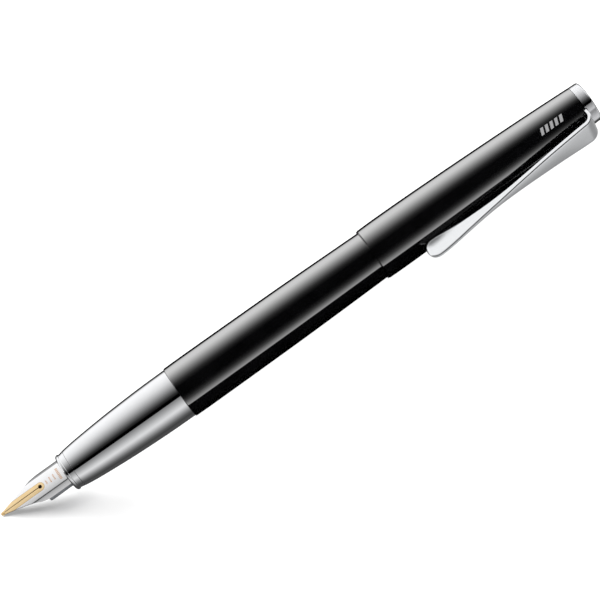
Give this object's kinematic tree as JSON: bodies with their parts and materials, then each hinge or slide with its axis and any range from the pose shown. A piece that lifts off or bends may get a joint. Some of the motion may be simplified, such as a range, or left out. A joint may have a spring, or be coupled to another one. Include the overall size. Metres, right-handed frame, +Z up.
{
  "type": "fountain pen",
  "caption": "Slim metal fountain pen with a chrome grip, folded steel nib, lacquered barrel and a clipped cap posted on its tail.",
  "frame": {"origin": "on the table, under the middle of the pen's box", "axes": "+X along the pen from the writing point to the cap's top, +Z up, pen lying on its side at rest on its cap and clip"},
  "size_m": [0.1562, 0.016, 0.0126],
  "materials": {
    "nib_steel": "satin rolled steel with a gilded centre panel",
    "pellet": "ground satin",
    "feed": "fine matte moulding",
    "grip_chrome": "polished plating",
    "ring_chrome": "polished plating",
    "core": "matte moulding",
    "converter_clear": "clear moulded tube",
    "collar_chrome": "polished",
    "seal": "soft satin",
    "rod": "satin moulding",
    "nut_brass": "turned",
    "knob": "satin moulding with grip flutes",
    "lacquer_barrel": "deep gloss black lacquer",
    "bush_brass": "turned",
    "stud_chrome": "polished",
    "lacquer_cap": "deep gloss black lacquer",
    "liner": "matte moulding",
    "spring_steel": "rolled spring steel",
    "clip_steel": "polished, fine satin on the edges",
    "finial_chrome": "polished plating",
    "zinc_steel": "plain zinc-plated steel"
  },
  "bodies": {
    "barrel": {"barrel_tube": "lacquer_barrel", "barrel_thread_bush": "bush_brass", "tail_stud": "stud_chrome"},
    "section": {"grip_shell": "grip_chrome", "grip_front_ring": "ring_chrome", "section_core": "core", "feed": "feed"},
    "nib": {"nib": "nib_steel", "nib_tipping": "pellet"},
    "converter": {"converter_tube": "converter_clear", "converter_collar": "collar_chrome"},
    "piston": {"converter_seal": "seal", "converter_piston_rod": "rod"},
    "knob": {"converter_knob": "knob", "converter_drive_nut": "nut_brass"},
    "cap": {"cap_tube": "lacquer_cap", "cap_liner": "liner", "cap_clutch_ring": "spring_steel", "cap_finial": "finial_chrome", "clip_washer": "zinc_steel", "cap_nut": "zinc_steel"},
    "clip": {"cap_clip": "clip_steel"}
  },
  "joints": [
    {"name": "section_pull", "type": "slide", "parent": "barrel", "child": "section", "axis": [-1, 0, 0], "range_m": [0, 0.075]},
    {"name": "nib_pull", "type": "slide", "parent": "section", "child": "nib", "axis": [-1, 0, 0], "range_m": [0, 0.018]},
    {"name": "converter_pull", "type": "slide", "parent": "section", "child": "converter", "axis": [1, 0, 0], "range_m": [0, 0.008]},
    {"name": "knob_turn", "type": "hinge", "parent": "converter", "child": "knob", "pos_m": [0.01184, 0.0017, 0.00629], "axis": [1, 0, 0], "range_deg": [0, 2160]},
    {"name": "piston_travel", "type": "slide", "parent": "converter", "child": "piston", "axis": [-1, 0, 0], "range_m": [0, 0.022]},
    {"name": "cap_pull", "type": "slide", "parent": "barrel", "child": "cap", "axis": [1, 0, 0], "range_m": [0, 0.045]},
    {"name": "clip_flex", "type": "hinge", "parent": "cap", "child": "clip", "pos_m": [0.07584, -0.00231, 0.00402], "axis": [0, -0.4924, 0.8704], "range_deg": [0, 2], "stiffness_Nm_per_rad": 6}
  ],
  "couplings": [
    {"joint": "knob_turn", "follows": "piston_travel", "rad_per_m": 1713.6}
  ]
}
